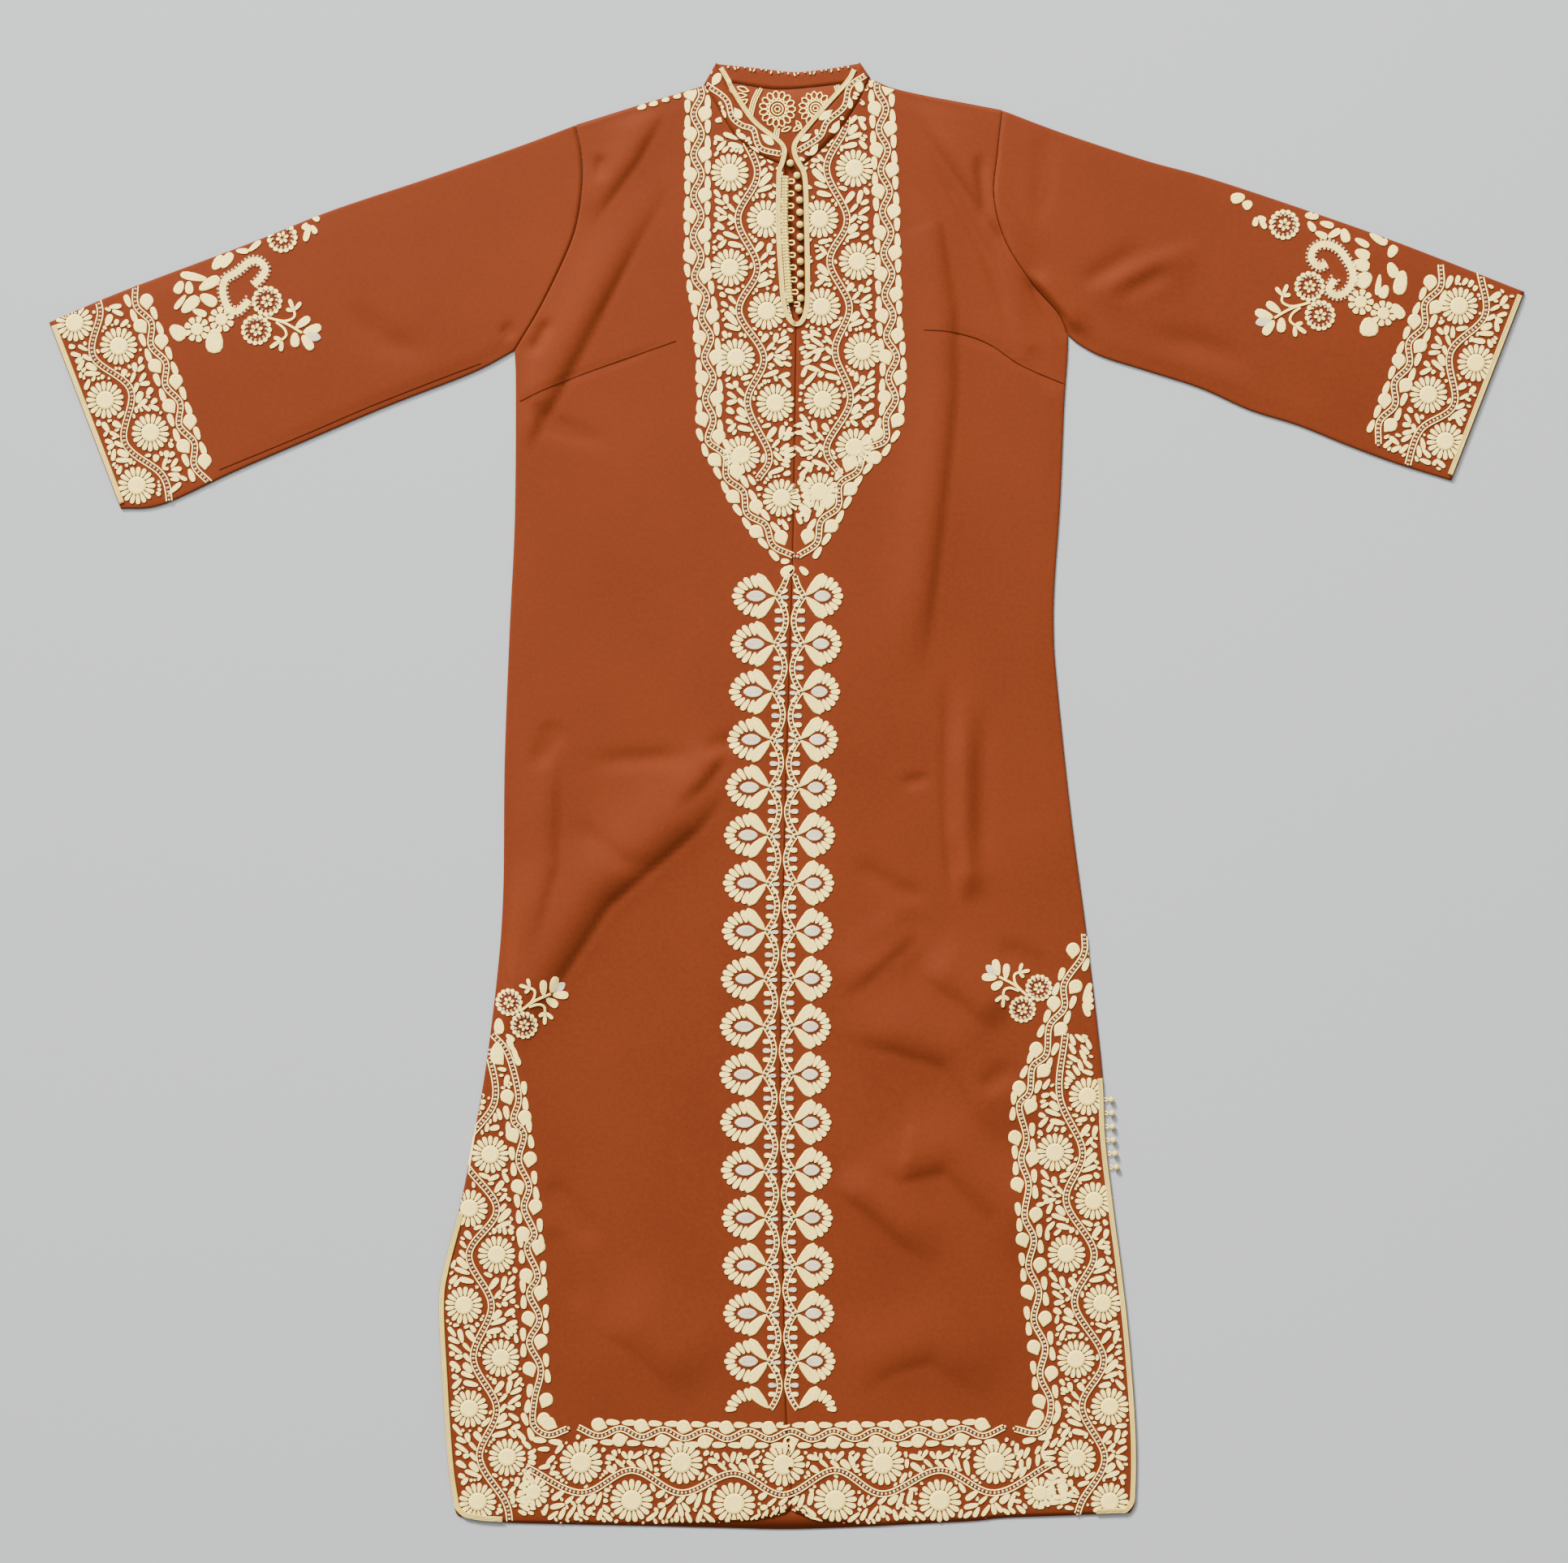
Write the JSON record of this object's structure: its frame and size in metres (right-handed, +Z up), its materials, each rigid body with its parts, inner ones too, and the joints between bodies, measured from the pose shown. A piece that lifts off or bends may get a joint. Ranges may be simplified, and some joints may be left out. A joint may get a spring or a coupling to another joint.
{
  "type": "kaftan laid flat",
  "caption": "Long twill kaftan laid flat face up, with set-in sleeves, a stand collar, a buttoned neck slit, side slits and gold braid.",
  "frame": {"origin": "middle of the garment's flat extent, on the surface that it lies on", "axes": "+X to the viewer's right along the spread sleeves, +Y from hem to neck, +Z up from the surface"},
  "size_m": [1.3986, 1.3908, 0.0131],
  "materials": {
    "rust_twill": "fine diagonal twill, soft sheen",
    "gold_braid": "flat metallic-thread braid",
    "cream_thread": "matt cream thread, chain stitched or wound",
    "silver_thread": "bright silver thread, looped"
  },
  "bodies": {
    "root": {"front_left": "rust_twill", "front_right": "rust_twill", "back_panel": "rust_twill", "sleeve_left": "rust_twill", "sleeve_right": "rust_twill", "collar": "rust_twill", "neck_braid": "gold_braid", "cuff_braid_left": "gold_braid", "cuff_braid_right": "gold_braid", "slit_braid_left": "gold_braid", "slit_braid_right": "gold_braid", "neck_gimp": "cream_thread", "neck_button_01": "cream_thread", "neck_button_02": "cream_thread", "neck_button_03": "cream_thread", "neck_button_04": "cream_thread", "neck_button_05": "cream_thread", "neck_button_06": "cream_thread", "neck_button_07": "cream_thread", "neck_button_08": "cream_thread", "neck_button_09": "cream_thread", "neck_button_10": "cream_thread", "neck_button_11": "cream_thread", "neck_button_12": "cream_thread", "neck_button_13": "cream_thread", "neck_loop_01": "cream_thread", "neck_loop_02": "cream_thread", "neck_loop_03": "cream_thread", "neck_loop_04": "cream_thread", "neck_loop_05": "cream_thread", "neck_loop_06": "cream_thread", "neck_loop_07": "cream_thread", "neck_loop_08": "cream_thread", "neck_loop_09": "cream_thread", "neck_loop_10": "cream_thread", "neck_loop_11": "cream_thread", "slit_button_01": "cream_thread", "slit_button_02": "cream_thread", "slit_button_03": "cream_thread", "slit_button_04": "cream_thread", "slit_button_05": "cream_thread", "slit_button_06": "cream_thread", "slit_loop_01": "cream_thread", "slit_loop_02": "cream_thread", "slit_loop_03": "cream_thread", "slit_loop_04": "cream_thread", "slit_loop_05": "cream_thread", "slit_loop_06": "cream_thread"}
  },
  "joints": []
}
